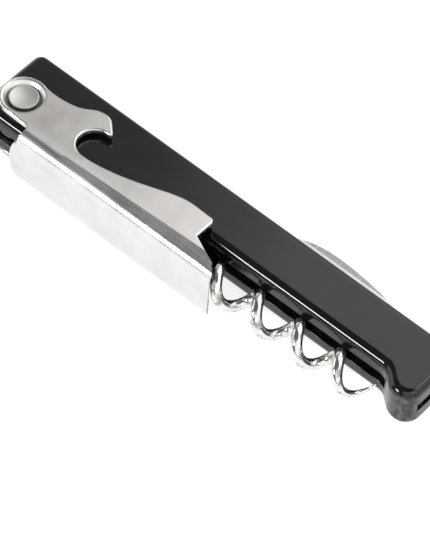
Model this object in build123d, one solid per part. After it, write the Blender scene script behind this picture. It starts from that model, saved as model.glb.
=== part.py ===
from build123d import *
import os
from math import cos, pi, radians, sin, tan

os.makedirs("parts", exist_ok=True)

# Lever corkscrew (waiter's friend), folded shut and lying on its side. Millimetres.
# Everything is drawn about the lever's rivet: X runs along the handle towards the hook,
# Y towards the knife's edge of the handle, Z through its thickness from the middle plane.
# At the end the whole model is moved so that the origin is under the middle of its box.

# Handle: one moulding with a block for the lever, a recess for the worm, and a hook
HANDLE_LEFT = -6.9
HANDLE_RIGHT = 104.9
HANDLE_TOP = 12.65
BLOCK_BOTTOM = -6.35
RECESS_Y = -0.15
HOOK_BOTTOM = -3.55
HOOK_LOW_X = 101.4
HANDLE_T = 10.0
EDGE_R = 1.9
STEP_X = 44.0
STEP_SLANT = 2.6
STEP_R = 2.3
RECESS_END_X = 93.9
TOP_RIGHT_X = 103.0
TOP_RIGHT_R = 3.2
TOP_LEFT_R = 2.1
BLOCK_CORNER_R = 2.6

# Slots moulded in the handle's middle plane
WORM_SLOT_W = 2.7
WORM_SLOT_LEFT = -4.7
WORM_SLOT_TOP = 2.7
RECESS_SLOT_TOP = 0.9
RECESS_SLOT_END = 96.6
KNIFE_SLOT_W = 2.0
KNIFE_SLOT_LEFT = 46.6
KNIFE_SLOT_FLOOR = 2.0
END_SLOT_X = 101.2
END_SLOT_FLOOR = -0.85
SLOT_EDGE_R = 0.2

# Lever: a pressed steel channel that straddles the handle
SHEET_T = 1.0
LEVER_W = 14.25
WEB_Y = -8.65
BEND_R = 2.7
RIM_R = 0.4
EYE_R = 5.15
DISH_RIM_R = 4.4
DISH_FLOOR_R = 3.3
DISH_DEPTH = 1.05
DISH_EDGE_R = 0.7
DISH_BACK_R = 4.15
DISH_BACK_ROOT_R = 5.03
NOTCH_R = 3.76
NOTCH_X = 18.6
NOTCH_Y = 0.55
HUMP = (15.2, 7.9)
BEAK_TIP = (20.3, 3.9)
BEAK_TIP_R = 0.5
FOOT_X = 48.7
FOOT_TOP = 2.65
FOOT_BOTTOM = -2.7
FOOT_R = 1.1
ARM_END = (55.2, -5.7)
ARM_END_R = 1.6
WEB_LEFT = 4.2
WEB_LEFT_R = 9.8
CHEEK_LEFT = 5.9
CHEEK_LEFT_Y = -5.35
CHEEK_LEFT_R = 0.9
WEB_RIGHT = 57.2
WEB_BEVEL = 0.85
WEB_BEVEL_LOW_Z = -1.8
WEB_BEVEL_HIGH_Z = 4.5
PINCH_START = (16.0, -5.9)
PINCH_END = (57.2, -4.4)
PINCH_TILT = 10

# Rivet of the lever
RIVET_R = 2.0
RIVET_HEAD_R = 3.15
RIVET_HEAD_T = 0.7
RIVET_EDGE_R = 0.2
RIVET_HOLLOW_R = 2.85
RIVET_HOLLOW_DEPTH = 0.35
RUN_GAP = 0.05

# Worm: one wire, with an eye round its pin, a straight shank and a tapering point
WIRE_R = 1.2
HELIX_R = 2.78
PITCH = 10.5
WORM_Y = -4.4
EYE_X = 39.0
PIN_R = 1.5
EYE_TURN = 260
HELIX_TOP_X = 53.23
LEAD_IN_START = -270
LEAD_IN_END = -60
LEAD_IN_MIDDLE_R = 1.25
TAPER_START = 1170
TIP_ANGLE = 1433
TIP_R = 0.12
TIP_LENGTHS = 3
TIP_SECTIONS = 4
TAPER_POWER = 1.6

# Foil knife
KNIFE_X = 97.0
KNIFE_Y = 7.6
KNIFE_T = 1.3
TANG_R = 3.3
SPINE_TOP = 16.5
SPINE_TOP_X = 70.0
KNIFE_HEEL = (93.9, 4.9)
KNIFE_TIP = (52.0, 9.7)
GRIND_TOP = 10.6
GRIND_LOW = 4.0
GRIND_END_X = 90.5
EDGE_T = 0.2
SPINE_BEVEL_Y = 15.1
SPINE_BEVEL_TILT = 9

# Leaf springs and the pins that hold the folding pieces
SPRING_T = 1.7
LEAF_H = 1.6
SMALL_PIN_R = 1.0
PIN_CHAMFER = 0.12
BLIND_DEPTH = 2.0
SPRING_GAP = 0.3
WORM_SPRING_PIN = (14.0, 0.6)
KNIFE_SPRING_PIN = (51.0, 4.6)

HALF_T = HANDLE_T / 2
HALF_W = LEVER_W / 2
EYE_CENTRE_R = PIN_R + RUN_GAP + WIRE_R
PIN_Y = WORM_Y + EYE_CENTRE_R
FAR = 60.0

TO_FRAME = Location((
    -(HANDLE_LEFT + HANDLE_RIGHT) / 2,
    -(WEB_Y + SPINE_TOP) / 2,
    HALF_W,
))


def slab(x0, x1, y0, y1, z0, z1):
    """A block given by its limits along the three axes."""
    middle = ((x0 + x1) / 2, (y0 + y1) / 2, (z0 + z1) / 2)
    return Pos(*middle) * Box(x1 - x0, y1 - y0, z1 - z0)


def rod(x, y, radius, z0, z1):
    """A round bar along Z."""
    return Pos(x, y, (z0 + z1) / 2) * Cylinder(radius, z1 - z0)


def prism(sketch, z0, z1):
    """A flat outline given thickness between two heights."""
    return extrude(Pos(0, 0, z0) * sketch, z1 - z0)


def near(vertices, x, y):
    """The corner of an outline that lies nearest a point."""
    return vertices.sort_by_distance((x, y, 0))[0]


def rounded(outline, rounds):
    """Rounds an outline's corners, each given by its place and radius."""
    for x, y, radius in rounds:
        outline = fillet(near(outline.vertices(), x, y), radius)
    return outline


def handle_outline():
    recess_start = STEP_X + STEP_SLANT
    with BuildSketch() as sketch:
        with BuildLine():
            Polyline(
                (HOOK_LOW_X, HANDLE_TOP),
                (HANDLE_LEFT, HANDLE_TOP),
                (HANDLE_LEFT, BLOCK_BOTTOM),
                (STEP_X, BLOCK_BOTTOM),
                (recess_start, RECESS_Y),
                (RECESS_END_X, RECESS_Y),
            )
            Spline(
                (RECESS_END_X, RECESS_Y),
                (HOOK_LOW_X, HOOK_BOTTOM),
                tangents=((1, 0), (1, 0)),
            )
            hook_r = HANDLE_RIGHT - HOOK_LOW_X
            RadiusArc((HOOK_LOW_X, HOOK_BOTTOM), (HANDLE_RIGHT, HOOK_BOTTOM + hook_r), -hook_r)
            TangentArc(
                (HANDLE_RIGHT, HOOK_BOTTOM + hook_r),
                (TOP_RIGHT_X, HANDLE_TOP),
                tangent=(0, 1),
            )
            Line((TOP_RIGHT_X, HANDLE_TOP), (HOOK_LOW_X, HANDLE_TOP))
        make_face()
    return rounded(sketch.sketch, (
        (TOP_RIGHT_X, HANDLE_TOP, TOP_RIGHT_R),
        (HANDLE_LEFT, HANDLE_TOP, TOP_LEFT_R),
        (HANDLE_LEFT, BLOCK_BOTTOM, BLOCK_CORNER_R),
        (STEP_X, BLOCK_BOTTOM, STEP_R),
        (recess_start, RECESS_Y, STEP_R),
    ))


def make_handle():
    body = prism(handle_outline(), -HALF_T, HALF_T)
    rims = body.faces().filter_by(Plane.XY).edges()
    body = fillet(rims, EDGE_R)
    worm_slot = slab(WORM_SLOT_LEFT, STEP_X + STEP_SLANT + 1, -FAR, WORM_SLOT_TOP,
                     -WORM_SLOT_W / 2, WORM_SLOT_W / 2)
    recess_slot = slab(STEP_X, RECESS_SLOT_END, -FAR, RECESS_SLOT_TOP,
                       -WORM_SLOT_W / 2, WORM_SLOT_W / 2)
    knife_slot = slab(KNIFE_SLOT_LEFT, HANDLE_RIGHT + 1, KNIFE_SLOT_FLOOR, FAR,
                      -KNIFE_SLOT_W / 2, KNIFE_SLOT_W / 2)
    end_slot = slab(END_SLOT_X, HANDLE_RIGHT + 1, END_SLOT_FLOOR, FAR,
                    -KNIFE_SLOT_W / 2, KNIFE_SLOT_W / 2)
    body -= worm_slot + recess_slot
    body -= knife_slot + end_slot
    for side in (1, -1):
        edge = body.edges().sort_by_distance(
            ((STEP_X + RECESS_END_X) / 2, RECESS_Y, side * WORM_SLOT_W / 2))[0]
        body = fillet(edge, SLOT_EDGE_R)
    body -= rod(0, 0, RIVET_R, -HALF_T, HALF_T)
    blind_end = HALF_T - BLIND_DEPTH
    pins = (
        (EYE_X, PIN_Y, PIN_R),
        (KNIFE_X, KNIFE_Y, PIN_R),
        (*WORM_SPRING_PIN, SMALL_PIN_R),
        (*KNIFE_SPRING_PIN, SMALL_PIN_R),
    )
    for x, y, radius in pins:
        body -= rod(x, y, radius, -HALF_T, blind_end)
    return body


def make_pin(x, y, radius):
    """A plain pin pressed in from the back, flush there and blind at the front."""
    pin = rod(x, y, radius, -HALF_T, HALF_T - BLIND_DEPTH)
    ends = pin.edges().filter_by(GeomType.CIRCLE)
    return chamfer(ends, radius * PIN_CHAMFER)


def lever_outline():
    """The cheek's outline, seen square on, from the eye past the opener to the foot."""
    eye_leave = (EYE_R * cos(radians(75)), EYE_R * sin(radians(75)))
    eye_under = (0, -EYE_R)
    notch_low = (NOTCH_X, NOTCH_Y - NOTCH_R)
    below = WEB_Y - 1
    with BuildSketch() as sketch:
        with BuildLine():
            Spline(eye_leave, (5.4, 4.7), (10.9, 6.05), HUMP,
                   tangents=((1, -0.27), (1, 0.05)))
            Spline(HUMP, (17.9, 6.5), BEAK_TIP, tangents=((1, 0.05), (0.7, -1)))
            ThreePointArc(BEAK_TIP, (NOTCH_X - NOTCH_R, NOTCH_Y), notch_low)
            Spline(notch_low, (24.9, -2.45), (32.9, -0.05), (40.3, 2.5), (FOOT_X, FOOT_TOP),
                   tangents=((1, 0), (1, 0)))
            Polyline((FOOT_X, FOOT_TOP), (FOOT_X, FOOT_BOTTOM), ARM_END,
                     (WEB_RIGHT, WEB_Y + SHEET_T / 3), (WEB_RIGHT, below),
                     (CHEEK_LEFT, below), (CHEEK_LEFT, CHEEK_LEFT_Y), eye_under)
            ThreePointArc(eye_under, (-EYE_R, 0), eye_leave)
        make_face()
    return rounded(sketch.sketch, (
        (FOOT_X, FOOT_TOP, FOOT_R),
        (*ARM_END, ARM_END_R),
        (*BEAK_TIP, BEAK_TIP_R),
        (CHEEK_LEFT, CHEEK_LEFT_Y, CHEEK_LEFT_R),
    ))


def channel_section():
    """The pressed channel's section across the handle, as a face in the YZ plane."""
    section = Sketch()
    for y, width, radius in (
        (WEB_Y, LEVER_W, BEND_R),
        (WEB_Y + SHEET_T, LEVER_W - 2 * SHEET_T, BEND_R - SHEET_T),
    ):
        box = Pos(y + FAR / 2, 0) * Rectangle(FAR, width)
        box = fillet(box.vertices().group_by(Axis.X)[0], radius)
        section = section - box if section else box
    return Plane.YZ * section


def dish(side):
    """The countersunk eye on one cheek: what is added behind it and what is cut from it."""
    outer = HALF_W
    floor = outer - DISH_DEPTH
    back_z = HALF_T + RUN_GAP
    back = Pos(0, 0, (outer - SHEET_T + back_z) / 2) * Rot(180, 0, 0) * Cone(
        DISH_BACK_ROOT_R, DISH_BACK_R, outer - SHEET_T - back_z)
    cut = Pos(0, 0, (floor + outer) / 2) * Cone(DISH_FLOOR_R, DISH_RIM_R, DISH_DEPTH)
    if side < 0:
        back = Rot(180, 0, 0) * back
        cut = Rot(180, 0, 0) * cut
    return back, cut


def pinch(side):
    """What is cut from a cheek where it draws in towards the bend, more and more to the foot."""
    start = Vector(*PINCH_START, HALF_W)
    along = (Vector(*PINCH_END, HALF_W) - start).normalized()
    outward = Vector(0, 0, 1).rotate(Axis((0, 0, 0), along), PINCH_TILT)
    block = Plane(start, x_dir=along, z_dir=outward) * Box(
        FAR, FAR / 4, HALF_W, align=(Align.MIN, Align.MAX, Align.MIN))
    return block if side > 0 else mirror(block, about=Plane.XY)


def make_lever():
    channel = extrude(Pos(-EYE_R - 1, 0, 0) * channel_section(), WEB_RIGHT + EYE_R + 2)
    cheeks = prism(lever_outline(), -HALF_W, HALF_W)
    rims = cheeks.faces().filter_by(Plane.XY).edges()
    lever = channel & fillet(rims, RIM_R)
    # the web's left end bulges a little past the cheeks
    flat_half = HALF_W - BEND_R
    tongue = slab(WEB_LEFT, CHEEK_LEFT + 1, WEB_Y, WEB_Y + SHEET_T, -flat_half, flat_half)
    bulge = Pos(WEB_LEFT + WEB_LEFT_R, WEB_Y, 0) * Rot(90, 0, 0) * Cylinder(WEB_LEFT_R, FAR)
    lever += tongue & bulge
    # the web's right end is bevelled inside, only where the worm's first turn passes it
    inner_y = WEB_Y + SHEET_T
    with BuildSketch() as bevel:
        with BuildLine():
            Polyline((WEB_RIGHT - WEB_BEVEL, inner_y), (WEB_RIGHT, inner_y - WEB_BEVEL),
                     (WEB_RIGHT, inner_y), close=True)
        make_face()
    lever -= prism(bevel.sketch, WEB_BEVEL_LOW_Z, WEB_BEVEL_HIGH_Z)
    for side in (1, -1):
        back, cut = dish(side)
        lever = lever + back - cut
        face_z = side * HALF_W
        rim = lever.edges().filter_by(GeomType.CIRCLE).sort_by_distance((DISH_RIM_R, 0, face_z))[0]
        lever = fillet(rim, DISH_EDGE_R)
        lever -= pinch(side)
    lever -= rod(0, 0, RIVET_R + RUN_GAP, -FAR, FAR)
    return lever


def make_rivet():
    seat = HALF_W - DISH_DEPTH + RUN_GAP
    top = seat + RIVET_HEAD_T
    head = rod(0, 0, RIVET_HEAD_R, seat, top)
    head = fillet(head.edges().group_by(Axis.Z)[-1], RIVET_EDGE_R)
    hollow_r = (RIVET_HOLLOW_R ** 2 + RIVET_HOLLOW_DEPTH ** 2) / (2 * RIVET_HOLLOW_DEPTH)
    head -= Pos(0, 0, top - RIVET_HOLLOW_DEPTH + hollow_r) * Sphere(hollow_r)
    return rod(0, 0, RIVET_R, -seat, seat) + head + mirror(head, about=Plane.XY)


def helix_x(angle):
    return HELIX_TOP_X + PITCH * angle / 360


def helix_point(angle, radius=HELIX_R):
    """A point on the worm's middle line. The angle is measured from +Y about the worm."""
    turn = radians(angle)
    return Vector(helix_x(angle), WORM_Y + radius * cos(turn), radius * sin(turn))


def helix_tangent(angle):
    turn = radians(angle)
    along = PITCH / (2 * pi)
    return Vector(along, -HELIX_R * sin(turn), HELIX_R * cos(turn)).normalized()


def make_worm():
    shank_end = (helix_x(LEAD_IN_START), WORM_Y, 0)
    middle = (LEAD_IN_START + LEAD_IN_END) / 2
    eye_centre = Vector(EYE_X, PIN_Y, 0)
    eye_end = eye_centre + Vector(0, -EYE_CENTRE_R, 0).rotate(Axis.Z, -EYE_TURN)
    eye_far = eye_centre + Vector(0, -EYE_CENTRE_R, 0).rotate(Axis.Z, -EYE_TURN / 2)
    with BuildLine() as path:
        ThreePointArc(eye_end, eye_far, (EYE_X, WORM_Y, 0))
        Line((EYE_X, WORM_Y, 0), shank_end)
        Spline(shank_end, helix_point(middle, LEAD_IN_MIDDLE_R), helix_point(LEAD_IN_END),
               tangents=(Vector(1, 0, 0), helix_tangent(LEAD_IN_END)))
    start_plane = Plane(eye_end, z_dir=path.line.edges()[0] % 0)
    bent = sweep(start_plane * Circle(WIRE_R), path=path.line)

    turns = (TAPER_START - LEAD_IN_END) / 360
    coil = Helix(PITCH, PITCH * turns, HELIX_R)
    coil_frame = Plane(origin=(0, 0, 0), x_dir=(0, 1, 0), z_dir=(1, 0, 0))
    coil = coil_frame * coil
    coil = Pos(helix_x(LEAD_IN_END), WORM_Y, 0) * Rot(LEAD_IN_END, 0, 0) * coil
    ring = Plane(helix_point(LEAD_IN_END), z_dir=helix_tangent(LEAD_IN_END)) * Circle(WIRE_R)
    screw = sweep(ring, path=coil)

    point = []
    for length in range(TIP_LENGTHS):
        sections = []
        for step in range(TIP_SECTIONS + 1):
            share = (length + step / TIP_SECTIONS) / TIP_LENGTHS
            angle = TAPER_START + (TIP_ANGLE - TAPER_START) * share
            radius = WIRE_R + (TIP_R - WIRE_R) * share ** TAPER_POWER
            plane = Plane(helix_point(angle), x_dir=(1, 0, 0), z_dir=helix_tangent(angle))
            sections.append((plane * Circle(radius)).face())
        point.append(loft(sections))
    return bent + screw + point[0] + point[1:]


def knife_outline():
    tang_back = (KNIFE_X + TANG_R, KNIFE_Y)
    tang_top = (KNIFE_X, KNIFE_Y + TANG_R)
    tang_under = (KNIFE_X, KNIFE_Y - TANG_R)
    with BuildSketch() as sketch:
        with BuildLine():
            Spline(KNIFE_TIP, (57.5, 13.4), (63.5, 15.75), (SPINE_TOP_X, SPINE_TOP),
                   tangents=((0.7, 1), (1, 0)))
            Spline((SPINE_TOP_X, SPINE_TOP), (78.0, 15.95), (85.0, 14.65), (91.0, 12.4), tang_top,
                   tangents=((1, 0), (1, 0)))
            ThreePointArc(tang_top, (KNIFE_X + TANG_R * cos(pi / 4), KNIFE_Y + TANG_R * sin(pi / 4)),
                          tang_back)
            ThreePointArc(tang_back, (KNIFE_X + TANG_R * cos(pi / 4), KNIFE_Y - TANG_R * sin(pi / 4)),
                          tang_under)
            Line(tang_under, KNIFE_HEEL)
            Spline(KNIFE_HEEL, (80.0, 5.3), (65.0, 6.5), KNIFE_TIP,
                   tangents=((-1, 0), (-1, 0.5)))
        make_face()
    return sketch.sketch


def make_knife():
    blade = prism(knife_outline(), -KNIFE_T / 2, KNIFE_T / 2)
    # both sides are ground down to a thin edge, and bevelled a little along the back
    face = KNIFE_T / 2
    bevel_far = SPINE_TOP + 1
    bevel_drop = (bevel_far - SPINE_BEVEL_Y) * tan(radians(SPINE_BEVEL_TILT))
    for side in (1, -1):
        wedge = Plane.YZ * Polygon((GRIND_TOP, side * face), (GRIND_LOW, side * face),
                                   (GRIND_LOW, side * EDGE_T / 2), align=None)
        blade -= extrude(wedge, GRIND_END_X)
        bevel = Plane.YZ * Polygon((SPINE_BEVEL_Y, side * face), (bevel_far, side * face),
                                   (bevel_far, side * (face - bevel_drop)), align=None)
        blade -= extrude(bevel, GRIND_END_X)
    return blade - rod(KNIFE_X, KNIFE_Y, PIN_R + RUN_GAP, -FAR, FAR)


def make_worm_spring():
    """A plate on the lever's rivet, with an arm that bears on the worm's eye."""
    top = WORM_SLOT_TOP - SPRING_GAP
    lobe_r = 4.2
    low = -1.0
    nose = EYE_X - EYE_CENTRE_R - WIRE_R - SPRING_GAP
    nose_w = 1.4
    nose_low = -0.4
    arm_low = 0.2
    arm_start = 7.7
    with BuildSketch() as sketch:
        with BuildLine():
            Polyline((-lobe_r, low), (-lobe_r, top), (nose, top), (nose, nose_low),
                     (nose - nose_w, nose_low), (nose - 2 * nose_w, arm_low),
                     (arm_start, arm_low), (lobe_r, low))
            ThreePointArc((lobe_r, low), (0, low - lobe_r), (-lobe_r, low))
        make_face()
    plate = prism(sketch.sketch, -SPRING_T / 2, SPRING_T / 2)
    plate -= rod(0, 0, RIVET_R, -FAR, FAR)
    return plate - rod(*WORM_SPRING_PIN, SMALL_PIN_R, -FAR, FAR)


def make_knife_spring():
    """A leaf along the slot's floor that presses up on the knife's tang."""
    x, y = KNIFE_SPRING_PIN
    boss_r = 2.2
    leaf_low = y - boss_r
    left = x - boss_r
    right = KNIFE_X + 1.0
    boss = rod(x, y, boss_r, -SPRING_T / 2, SPRING_T / 2)
    foot = slab(left, x, leaf_low, y, -SPRING_T / 2, SPRING_T / 2)
    leaf = slab(x, right, leaf_low, leaf_low + LEAF_H, -SPRING_T / 2, SPRING_T / 2)
    spring = boss + foot + leaf
    return spring - rod(x, y, SMALL_PIN_R, -FAR, FAR)


def main():
    nodes = {
        "handle": make_handle(),
        "lever": make_lever(),
        "lever_rivet": make_rivet(),
        "worm": make_worm(),
        "worm_pin": make_pin(EYE_X, PIN_Y, PIN_R),
        "worm_spring": make_worm_spring(),
        "worm_spring_pin": make_pin(*WORM_SPRING_PIN, SMALL_PIN_R),
        "knife": make_knife(),
        "knife_pin": make_pin(KNIFE_X, KNIFE_Y, PIN_R),
        "knife_spring": make_knife_spring(),
        "knife_spring_pin": make_pin(*KNIFE_SPRING_PIN, SMALL_PIN_R),
    }
    for name, solid in nodes.items():
        export_step(TO_FRAME * solid, f"parts/{name}.step")


main()
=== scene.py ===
from math import cos, pi, radians, sin

import bpy
from mathutils import Matrix, Vector


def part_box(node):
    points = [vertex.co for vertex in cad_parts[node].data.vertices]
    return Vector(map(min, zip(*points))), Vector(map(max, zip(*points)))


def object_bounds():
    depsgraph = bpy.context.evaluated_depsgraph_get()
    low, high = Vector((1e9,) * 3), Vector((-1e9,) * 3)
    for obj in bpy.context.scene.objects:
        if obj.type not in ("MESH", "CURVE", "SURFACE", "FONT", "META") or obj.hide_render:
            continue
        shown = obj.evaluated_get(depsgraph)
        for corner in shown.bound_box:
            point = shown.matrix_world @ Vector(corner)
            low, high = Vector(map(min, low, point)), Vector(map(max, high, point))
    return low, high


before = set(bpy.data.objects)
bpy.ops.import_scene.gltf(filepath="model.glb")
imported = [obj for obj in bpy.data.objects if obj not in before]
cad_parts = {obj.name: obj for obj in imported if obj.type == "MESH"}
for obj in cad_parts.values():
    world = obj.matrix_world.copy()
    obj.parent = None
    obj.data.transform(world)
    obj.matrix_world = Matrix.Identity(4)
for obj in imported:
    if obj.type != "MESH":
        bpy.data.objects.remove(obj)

cad_lo, cad_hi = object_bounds()

MM = 0.001

# Camera: a long lens from far away, so that parallel edges stay nearly parallel
VIEW_AZIMUTH = radians(37.641)
VIEW_ELEVATION = radians(51.35)
VIEW_ROLL = radians(4.852)
VIEW_DISTANCE = 1.5
VIEW_TARGET = Vector((-2.8, 3.15, -7.35)) * MM
LENS = 502.8
SENSOR = 36.0

# Where the handle's hook is scuffed, from its box: where the scuffs start and where they are full
SCUFF_LENGTH = 12 * MM
SCUFF_FULL_LENGTH = 5 * MM
SCUFF_HEIGHT = 9 * MM
SCUFF_FULL_HEIGHT = 5 * MM
RIM_WIDTH = 0.9 * MM
handle_lo, handle_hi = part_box("handle")
HOOK_START = handle_hi[0] - SCUFF_LENGTH
HOOK_FULL = handle_hi[0] - SCUFF_FULL_LENGTH
HOOK_HIGH = handle_lo[1] + SCUFF_HEIGHT
HOOK_LOW = handle_lo[1] + SCUFF_FULL_HEIGHT
HOOK_RIM = handle_hi[2] - RIM_WIDTH

# Where the lever bends and ends, from its box
BEND_HEIGHT = 4.6 * MM
BEND_FADE = 1.2 * MM
WEB_FADE = 0.4 * MM
# how far in from the web's end the painted shade on its end face starts and is full
END_SHADE_START = 0.04 * MM
END_SHADE_FULL = 0.02 * MM
lever_lo, lever_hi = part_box("lever")
WEB_FACE = lever_lo[1]
BEND_TOP = WEB_FACE + BEND_HEIGHT
WEB_END = lever_hi[0]

# The lever's rivet, from its box, with the thin gap round its head and the dish that it sits in
GAP_FULL = 0.05 * MM
GAP_FADE = 0.17 * MM
DISH_TO_HEAD = 1.35
DISH_FADE = 0.3 * MM
rivet_lo, rivet_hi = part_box("lever_rivet")
RIVET_MIDDLE = ((rivet_lo[0] + rivet_hi[0]) / 2, (rivet_lo[1] + rivet_hi[1]) / 2, 0)
RIVET_HEAD_R = (rivet_hi[0] - rivet_lo[0]) / 2
DISH_R = DISH_TO_HEAD * RIVET_HEAD_R

# Where the blade's back is bevelled, from its box
BACK_WIDTH = 1.4 * MM
BACK_FADE = 0.1 * MM
BLADE_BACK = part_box("knife")[1][1] - BACK_WIDTH

# Surroundings
FLOOR_COLOR = (0.5, 0.5, 0.5, 1)
FLOOR_GLOW = 0.8
FLOOR_HALF_SIZE = 3.0
FLOOR_GAP = 0.05 * MM
WORLD_COLOR = (0.15, 0.15, 0.155, 1)


# ---------------------------------------------------------------- node helpers

class Nodes:
    """Builds one material's node tree around a Principled shader."""

    def __init__(self, name):
        self.material = bpy.data.materials.new(name)
        self.material.use_nodes = True
        self.tree = self.material.node_tree
        self.shader = self.tree.nodes["Principled BSDF"]
        coord = self.tree.nodes.new("ShaderNodeTexCoord")
        self.place = coord.outputs["Object"]

    def node(self, kind, **settings):
        made = self.tree.nodes.new(kind)
        for key, value in settings.items():
            setattr(made, key, value)
        return made

    def link(self, source, target):
        self.tree.links.new(source, target)

    def feed(self, socket, value):
        """Links an output to a socket, or sets the socket's own value."""
        if isinstance(value, bpy.types.NodeSocket):
            self.link(value, socket)
        else:
            socket.default_value = value

    def set(self, **values):
        for key, value in values.items():
            self.feed(self.shader.inputs[key.replace("_", " ")], value)

    def stretched(self, scale, turn=(0, 0, 0)):
        """Object coordinates in millimetres, turned and then scaled along each axis."""
        mapping = self.node("ShaderNodeMapping")
        mapping.inputs["Rotation"].default_value = turn
        mapping.inputs["Scale"].default_value = [s / MM for s in scale]
        self.link(self.place, mapping.inputs["Vector"])
        return mapping.outputs["Vector"]

    def noise(self, scale, detail=3.0, roughness=0.55, turn=(0, 0, 0), distortion=0.0):
        """Smooth noise with features of about 1/scale millimetres."""
        if not isinstance(scale, tuple):
            scale = (scale, scale, scale)
        texture = self.node("ShaderNodeTexNoise")
        self.link(self.stretched(scale, turn), texture.inputs["Vector"])
        texture.inputs["Scale"].default_value = 1.0
        texture.inputs["Detail"].default_value = detail
        texture.inputs["Roughness"].default_value = roughness
        texture.inputs["Distortion"].default_value = distortion
        return texture.outputs["Fac"]

    def spread(self, value, low, high, to_low, to_high):
        """Maps a range of a value to another, clamped."""
        mapped = self.node("ShaderNodeMapRange", clamp=True)
        self.link(value, mapped.inputs["Value"])
        for key, number in (("From Min", low), ("From Max", high),
                            ("To Min", to_low), ("To Max", to_high)):
            mapped.inputs[key].default_value = number
        return mapped.outputs["Result"]

    def math(self, operation, a, b=0.0):
        made = self.node("ShaderNodeMath", operation=operation)
        self.feed(made.inputs[0], a)
        self.feed(made.inputs[1], b)
        return made.outputs[0]

    def mix(self, share, a, b):
        """Mixes two colours."""
        made = self.node("ShaderNodeMix", data_type="RGBA")
        self.feed(made.inputs["Factor"], share)
        self.feed(made.inputs[6], a)
        self.feed(made.inputs[7], b)
        return made.outputs[2]

    def scratches(self, turn, length, width, share):
        """Thin straight marks: narrow bands of a noise stretched far along one direction."""
        value = self.noise((1 / length, 1 / width, 1 / width), detail=2.0, turn=(0, 0, turn))
        threshold = 1.0 - share
        return self.spread(value, threshold, threshold + 0.05, 0.0, 1.0)

    def bump(self, height, distance_mm, strength=1.0, after=None):
        made = self.node("ShaderNodeBump")
        made.inputs["Strength"].default_value = strength
        made.inputs["Distance"].default_value = distance_mm * MM
        self.link(height, made.inputs["Height"])
        if after is not None:
            self.link(after, made.inputs["Normal"])
        return made.outputs["Normal"]


# ---------------------------------------------------------------- materials

def moulded_plastic():
    """Glossy black moulded plastic, lightly rubbed, with moulding ripple and fine scratches."""
    m = Nodes("moulded_black_plastic")
    cloud = m.noise(0.09, detail=4.0)
    specks = m.noise(2.2, detail=5.0, roughness=0.7)
    marks = m.scratches(radians(24), 9.0, 0.05, 0.29)
    cross = m.scratches(radians(-58), 6.0, 0.04, 0.28)
    rubbed = m.math("MAXIMUM", marks, cross)
    base = m.mix(m.spread(cloud, 0.3, 0.7, 0, 1), (0.004, 0.0041, 0.0047, 1),
                 (0.006, 0.0061, 0.0068, 1))
    base = m.mix(m.math("MULTIPLY", rubbed, 0.25), base, (0.035, 0.035, 0.037, 1))
    rough = m.spread(cloud, 0.3, 0.7, 0.07, 0.11)
    rough = m.math("ADD", rough, m.spread(specks, 0.45, 0.75, 0.0, 0.05))
    rough = m.math("ADD", rough, m.math("MULTIPLY", rubbed, 0.12))
    # the hook's underside is scuffed grey
    axes = m.node("ShaderNodeSeparateXYZ")
    m.link(m.place, axes.inputs[0])
    near_hook = m.spread(axes.outputs["X"], HOOK_START, HOOK_FULL, 0.0, 1.0)
    underside = m.spread(axes.outputs["Y"], HOOK_HIGH, HOOK_LOW, 0.0, 1.0)
    below_rim = m.spread(axes.outputs["Z"], HOOK_RIM, HOOK_RIM - MM, 0.0, 1.0)
    hook = m.math("MULTIPLY", m.math("MULTIPLY", near_hook, underside), below_rim)
    patches = m.spread(m.noise((0.9, 0.9, 0.5), detail=6.0, roughness=0.7), 0.44, 0.66, 0.0, 1.0)
    scuff = m.math("MULTIPLY", hook, patches)
    base = m.mix(m.math("MULTIPLY", scuff, 0.75), base, (0.13, 0.135, 0.145, 1))
    rough = m.math("ADD", rough, m.math("MULTIPLY", scuff, 0.25))
    ripple = m.bump(m.noise(0.22, detail=2.0), 0.01, 0.35)
    fine = m.bump(specks, 0.002, 0.4, after=ripple)
    fine = m.bump(scuff, 0.03, 0.5, after=fine)
    m.set(Base_Color=base, Roughness=rough, Normal=fine, IOR=1.5)
    return m.material


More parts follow.
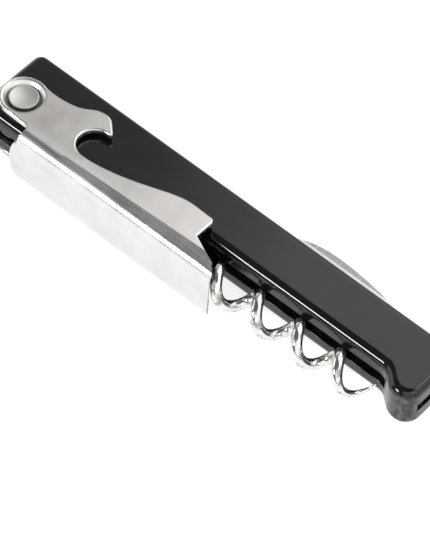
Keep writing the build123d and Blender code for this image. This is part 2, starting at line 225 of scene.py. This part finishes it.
def nickel(name, low, high, rough, brushed=0.0, pressed=False, dish_rough=0.0):
    """Nickel plate on steel: cloudy tone, faint rolling lines, small marks, and grime with painted
    shade round the rivet.

    A pressed piece also has painted light on its web, which is coloured darker and less yellow than the
    cheeks, drawing lines along its bend, and painted shade, mottled dark, on its web's end face.
    dish_rough is what the dish round the rivet adds to the roughness.
    """
    m = Nodes(name)
    cloud = m.noise(0.16, detail=4.0)
    grain = m.noise((0.35, 9.0, 9.0), detail=4.0)
    stain = m.spread(m.noise(0.42, detail=5.0, roughness=0.65), 0.6, 0.76, 0.0, 1.0)
    marks = m.scratches(radians(17), 5.0, 0.05, 0.3)
    base = m.mix(m.spread(cloud, 0.3, 0.7, 0, 1), low, high)
    base = m.mix(m.math("MULTIPLY", stain, 0.12), base, (0.5, 0.49, 0.46, 1))
    spread_rough = m.spread(cloud, 0.3, 0.7, rough - 0.03, rough + 0.04)
    brushing = m.spread(grain, 0.35, 0.65, -0.03 * brushed, 0.04 * brushed)
    grained = m.math("ADD", spread_rough, brushing)
    total = m.math("ADD", grained, m.math("MULTIPLY", marks, 0.1))
    wave = m.bump(m.noise(0.3, detail=2.0), 0.012, 0.3)
    lines = m.bump(grain, 0.0015, 0.25 + brushed * 0.5, after=wave)
    # grime and painted shade: a dark ring in the thin gap round the rivet's head
    from_rivet = m.node("ShaderNodeVectorMath", operation="DISTANCE")
    m.link(m.stretched((MM, MM, 0)), from_rivet.inputs[0])
    from_rivet.inputs[1].default_value = RIVET_MIDDLE
    off_gap = m.math("ABSOLUTE", m.math("SUBTRACT", from_rivet.outputs["Value"], RIVET_HEAD_R))
    gap_grime_and_shade = m.spread(off_gap, GAP_FULL, GAP_FADE, 0.9, 0.0)
    base = m.mix(gap_grime_and_shade, base, (0.05, 0.047, 0.043, 1))
    # the countersunk dish is left matt by the punch
    in_dish = m.spread(from_rivet.outputs["Value"], DISH_R, DISH_R + DISH_FADE, 1.0, 0.0)
    total = m.math("ADD", total, m.math("MULTIPLY", in_dish, dish_rough))
    if pressed:
        axes = m.node("ShaderNodeSeparateXYZ")
        m.link(m.place, axes.inputs[0])
        # painted light: the web's plate is coloured darker and less yellow than the cheeks', for how
        # the web is lit
        web_light_mask = m.spread(axes.outputs["Y"], BEND_TOP, WEB_FACE, 0.0, 1.0)
        cloudy = m.spread(cloud, 0.35, 0.65, 0, 1)
        web_light_tone = m.mix(cloudy, (0.66, 0.649, 0.641, 1), (0.72, 0.71, 0.704, 1))
        base = m.mix(web_light_mask, base, web_light_tone)
        bend = m.spread(axes.outputs["Y"], BEND_TOP, BEND_TOP - BEND_FADE, 0.0, 1.0)
        beside_web = m.spread(axes.outputs["Y"], WEB_FACE, WEB_FACE + WEB_FADE, 0.0, 1.0)
        bend = m.math("MULTIPLY", bend, beside_web)
        drawn = m.spread(m.noise((0.05, 3.2, 3.2), detail=4.0, roughness=0.7), 0.3, 0.7, 0.0, 1.0)
        total = m.math("ADD", total, m.math("MULTIPLY", bend, m.spread(drawn, 0, 1, 0.02, 0.14)))
        lines = m.bump(m.math("MULTIPLY", drawn, bend), 0.012, 0.4, after=lines)
        # painted shade: the web's end face is coloured a mottled dark, standing in for the worm's
        # reflection and shadow in it; it is also made rougher
        end_shade = m.spread(axes.outputs["X"], WEB_END - END_SHADE_START, WEB_END - END_SHADE_FULL, 0.0, 1.0)
        end_mottle = m.spread(m.noise((1.0, 1.5, 1.5), detail=5.0, roughness=0.7), 0.35, 0.65, 0.0, 1.0)
        end_shade_colour = m.mix(end_mottle, (0.09, 0.085, 0.08, 1), (0.48, 0.465, 0.44, 1))
        base = m.mix(end_shade, base, end_shade_colour)
        total = m.math("ADD", total, m.math("MULTIPLY", end_shade, 0.2))
    m.set(Base_Color=base, Metallic=1.0, Roughness=total, Normal=lines)
    return m.material


def chrome_wire():
    """Bright plate over drawn wire, with brownish specks where the plate is thin."""
    m = Nodes("plated_wire")
    cloud = m.noise(0.5, detail=3.0)
    dirt = m.spread(m.noise(0.62, detail=5.0, roughness=0.65), 0.53, 0.62, 0.0, 1.0)
    base = m.mix(m.spread(cloud, 0.3, 0.7, 0, 1), (0.7, 0.69, 0.675, 1), (0.8, 0.79, 0.775, 1))
    base = m.mix(m.math("MULTIPLY", dirt, 0.7), base, (0.2, 0.155, 0.12, 1))
    rough = m.math("ADD", m.spread(cloud, 0.3, 0.7, 0.11, 0.17), m.math("MULTIPLY", dirt, 0.2))
    pits = m.bump(m.noise(1.2, detail=3.0, roughness=0.55), 0.03, 0.3)
    m.set(Base_Color=base, Metallic=1.0, Roughness=rough, Normal=pits)
    return m.material


def ground_steel():
    """Ground blade steel, with grinding lines across it, coarser on the bevelled back, which is also
    painted darker as shade.
    """
    m = Nodes("ground_steel")
    axes = m.node("ShaderNodeSeparateXYZ")
    m.link(m.place, axes.inputs[0])
    back = m.spread(axes.outputs["Y"], BLADE_BACK - BACK_FADE, BLADE_BACK + BACK_FADE, 0.0, 1.0)
    lines = m.noise((7.0, 0.25, 0.25), detail=3.0)
    coarse = m.noise((3.2, 0.3, 0.3), detail=4.0, roughness=0.65)
    cloud = m.noise(0.2, detail=3.0)
    base = m.mix(m.spread(cloud, 0.3, 0.7, 0, 1), (0.62, 0.61, 0.59, 1), (0.72, 0.71, 0.69, 1))
    # painted shade: the bevelled back is coloured darker, mottled by its coarser grind
    coarse_grind_and_shade = m.mix(m.spread(coarse, 0.35, 0.65, 0, 1), (0.3, 0.293, 0.283, 1), (0.5, 0.49, 0.475, 1))
    base = m.mix(back, base, coarse_grind_and_shade)
    ground = m.spread(lines, 0.3, 0.7, -0.03, 0.06)
    rough = m.math("ADD", m.spread(cloud, 0.3, 0.7, 0.2, 0.27), ground)
    rough = m.math("ADD", rough, m.math("MULTIPLY", back, 0.1))
    m.set(Base_Color=base, Metallic=1.0, Roughness=rough, Normal=m.bump(lines, 0.004, 0.5))
    return m.material


def plain_steel(name, tone, rough):
    """Plain steel of the pins and springs, slightly darkened by oil."""
    m = Nodes(name)
    cloud = m.noise(0.7, detail=4.0)
    grain = m.noise((0.6, 6.0, 6.0), detail=3.0)
    dark = (tone * 0.8, tone * 0.79, tone * 0.77, 1)
    base = m.mix(m.spread(cloud, 0.3, 0.7, 0, 1), dark, (tone, tone * 0.99, tone * 0.97, 1))
    clouded = m.spread(cloud, 0.3, 0.7, rough - 0.05, rough + 0.08)
    m.set(Base_Color=base, Metallic=1.0, Roughness=clouded, Normal=m.bump(grain, 0.003, 0.4))
    return m.material


def dress(node, material):
    """Gives a CAD node its material."""
    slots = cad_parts[node].data.materials
    slots.clear()
    slots.append(material)


def dress_all():
    dress("handle", moulded_plastic())
    dress("lever", nickel("satin_nickel", (0.7, 0.674, 0.642, 1), (0.762, 0.741, 0.714, 1),
                          rough=0.2, brushed=0.4, pressed=True, dish_rough=0.2))
    dress("lever_rivet", nickel("rivet_nickel", (0.66, 0.643, 0.617, 1), (0.78, 0.763, 0.738, 1),
                                rough=0.44))
    dress("worm", chrome_wire())
    dress("knife", ground_steel())
    pin = plain_steel("pin_steel", 0.62, 0.32)
    spring = plain_steel("spring_steel", 0.5, 0.36)
    for node in ("worm_pin", "knife_pin", "worm_spring_pin", "knife_spring_pin"):
        dress(node, pin)
    for node in ("worm_spring", "knife_spring"):
        dress(node, spring)


# ---------------------------------------------------------------- surroundings

def make_floor():
    size = FLOOR_HALF_SIZE
    level = cad_lo.z - FLOOR_GAP
    mesh = bpy.data.meshes.new("studio_floor")
    corners = [(-size, -size, level), (size, -size, level), (size, size, level), (-size, size, level)]
    mesh.from_pydata(corners, [], [(0, 1, 2, 3)])
    floor = bpy.data.objects.new("studio_floor", mesh)
    bpy.context.scene.collection.objects.link(floor)
    m = Nodes("pale_floor")
    m.set(Base_Color=FLOOR_COLOR, Roughness=0.9, Emission_Color=(1, 1, 1, 1),
          Emission_Strength=FLOOR_GLOW, Specular_IOR_Level=0.0)
    mesh.materials.append(m.material)


def soft_light(name, place, width, height, radiance, away_from=None):
    """A rectangular light given by its middle and its brightness.

    It shines at the object, or, where away_from gives a direction, away from that direction.
    """
    data = bpy.data.lights.new(name, "AREA")
    data.shape = "RECTANGLE"
    data.size = width
    data.size_y = height
    data.energy = radiance * pi * width * height
    lamp = bpy.data.objects.new(name, data)
    bpy.context.scene.collection.objects.link(lamp)
    lamp.location = place
    lamp.rotation_euler = Vector(away_from or place).to_track_quat("Z", "Y").to_euler()


def make_lights():
    # the three back lights lie side by side in one plane, as one panel that brightens to the right
    rear = (0, 1, 1)
    soft_light("back_left", (-0.653, 0.5, 0.49), 0.68, 0.72, 0.32, away_from=rear)
    soft_light("back_middle", (-0.295, 0.5, 0.49), 0.036, 0.72, 0.85, away_from=rear)
    soft_light("back_right", (0.087, 0.5, 0.49), 0.728, 0.72, 1.45, away_from=rear)
    soft_light("front_strip", (-0.29, -0.65, 0.37), 0.26, 0.12, 33.0)
    soft_light("right", (0.56, -0.5, 0.5), 1.1, 1.0, 1.15)
    soft_light("far_right", (0.64, 0.27, 0.46), 0.85, 0.85, 1.15)
    soft_light("left", (-0.72, -0.2, 0.26), 0.5, 0.5, 1.3)
    soft_light("far_left", (-1.05, 0.6, 0.2), 0.6, 0.36, 1.2)


def make_world():
    world = bpy.data.worlds.new("studio")
    world.use_nodes = True
    world.node_tree.nodes["Background"].inputs["Color"].default_value = WORLD_COLOR
    bpy.context.scene.world = world


def make_camera():
    a, e, roll = VIEW_AZIMUTH, VIEW_ELEVATION, VIEW_ROLL
    back = Vector((sin(a) * cos(e), -cos(a) * cos(e), sin(e)))
    level_right = Vector((cos(a), sin(a), 0))
    level_up = back.cross(level_right)
    right = level_right * cos(roll) + level_up * sin(roll)
    up = back.cross(right)
    data = bpy.data.cameras.new("camera")
    data.lens = LENS
    data.sensor_width = SENSOR
    data.clip_start = 0.1
    data.clip_end = 20.0
    camera = bpy.data.objects.new("camera", data)
    bpy.context.scene.collection.objects.link(camera)
    turn = Matrix((right, up, back)).transposed().to_4x4()
    camera.matrix_world = Matrix.Translation(VIEW_TARGET + back * VIEW_DISTANCE) @ turn
    bpy.context.scene.camera = camera


dress_all()
make_floor()
make_lights()
make_world()
make_camera()
bpy.context.scene.view_settings.view_transform = "Standard"
